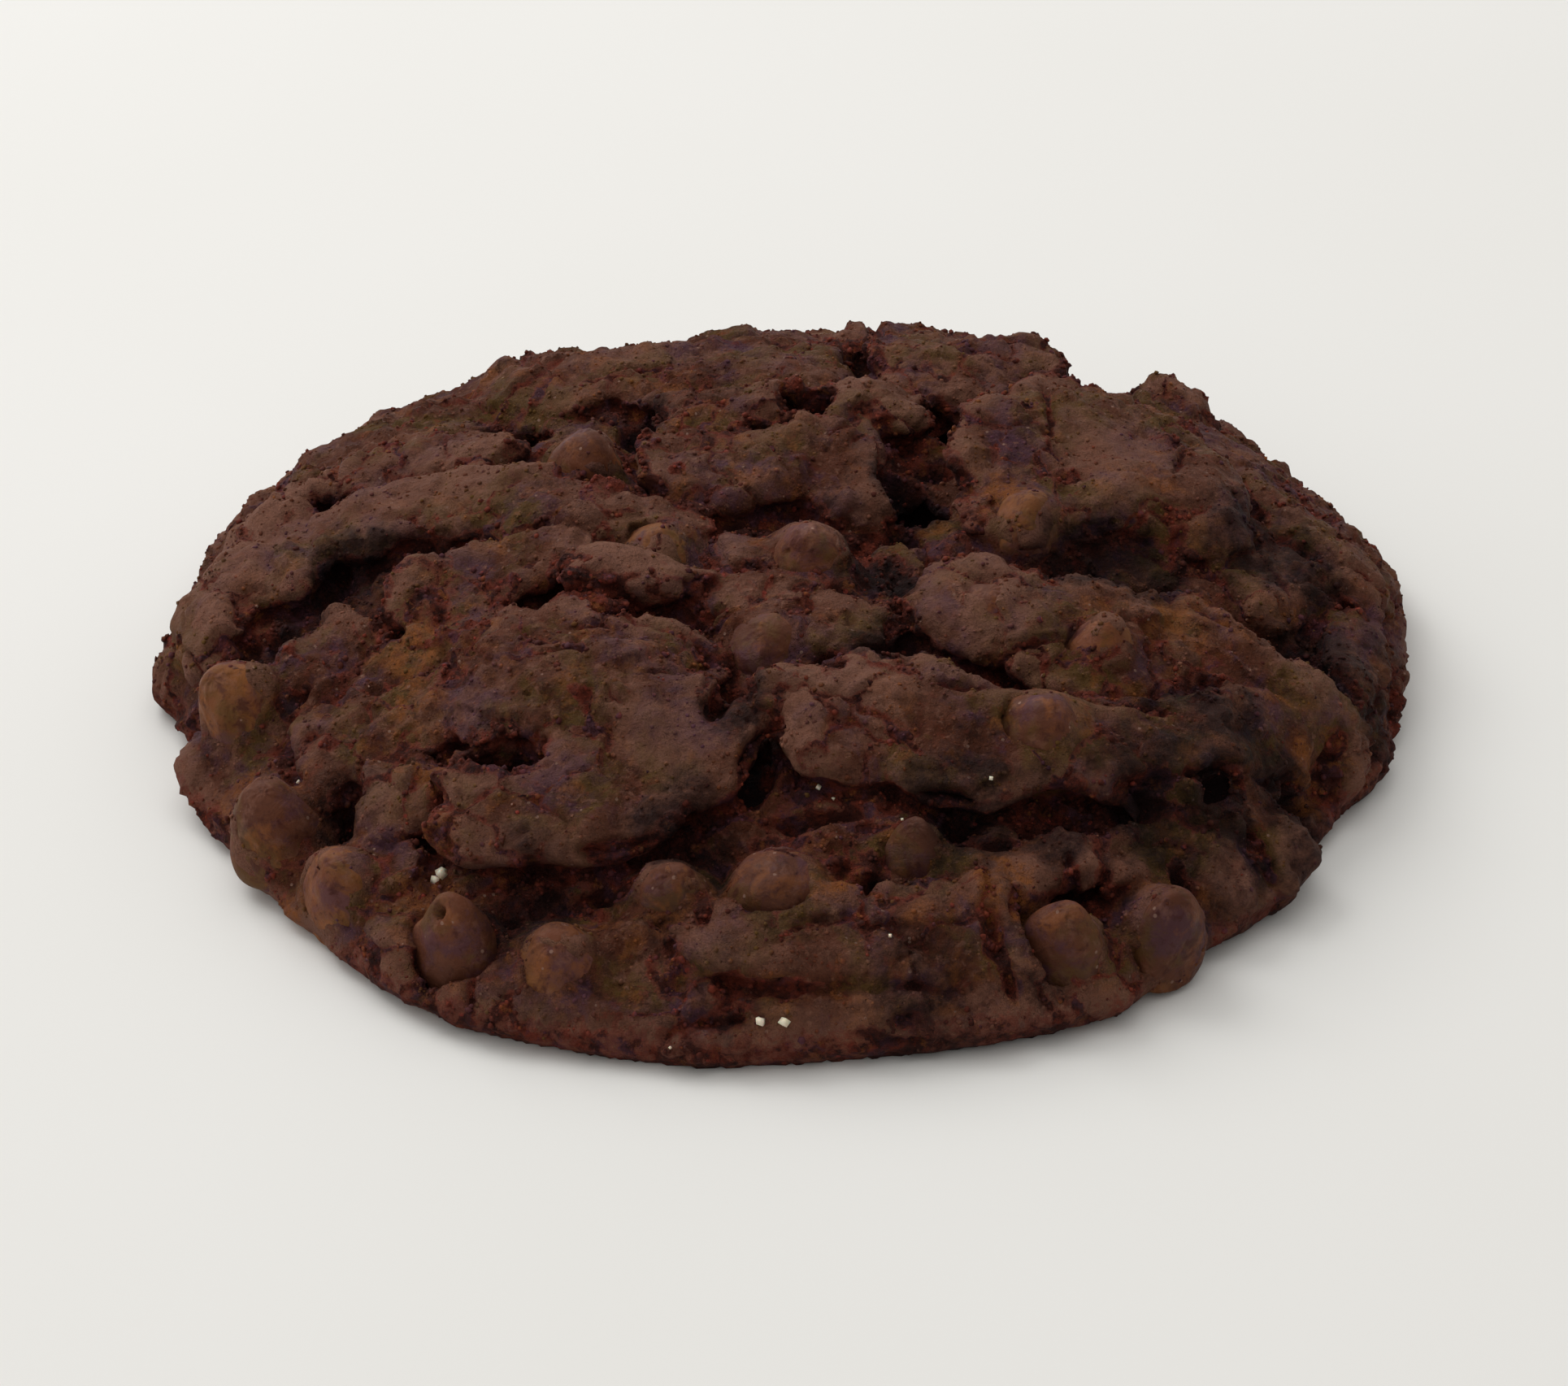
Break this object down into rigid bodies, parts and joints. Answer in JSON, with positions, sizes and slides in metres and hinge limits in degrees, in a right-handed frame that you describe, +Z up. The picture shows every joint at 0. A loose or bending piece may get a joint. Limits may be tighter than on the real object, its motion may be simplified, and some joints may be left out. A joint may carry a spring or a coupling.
{
  "type": "double chocolate cookie",
  "caption": "Round crackle-topped chocolate cookie with a flat underside and chocolate chips set in the dough.",
  "frame": {"origin": "middle of the flat underside, under the centre of the cookie's outline", "axes": "+Z up from the flat underside through the domed top, +X to the right and -Y to the front as the cookie is looked at with its row of exposed chips in front"},
  "size_m": [0.096, 0.0942, 0.0193],
  "materials": {
    "dough": "matt baked crust",
    "chocolate": "satin chocolate"
  },
  "bodies": {
    "root": {"cookie": "dough", "chip_back_left": "chocolate", "chip_mid_left": "chocolate", "chip_centre": "chocolate", "chip_mid": "chocolate", "chip_ledge": "chocolate", "chip_terrace": "chocolate", "chip_terrace_inner": "chocolate", "chip_broad_plate": "chocolate", "chip_left": "chocolate", "chip_left_low": "chocolate", "chip_front_left": "chocolate", "chip_front_a": "chocolate", "chip_front_b": "chocolate", "chip_front_c": "chocolate", "chip_front_d": "chocolate", "chip_front_e": "chocolate", "chip_front_f": "chocolate", "chip_front_right": "chocolate", "chip_back_a": "chocolate", "chip_back_b": "chocolate", "chip_back_c": "chocolate", "chip_back_d": "chocolate", "chip_back_e": "chocolate"}
  },
  "joints": []
}
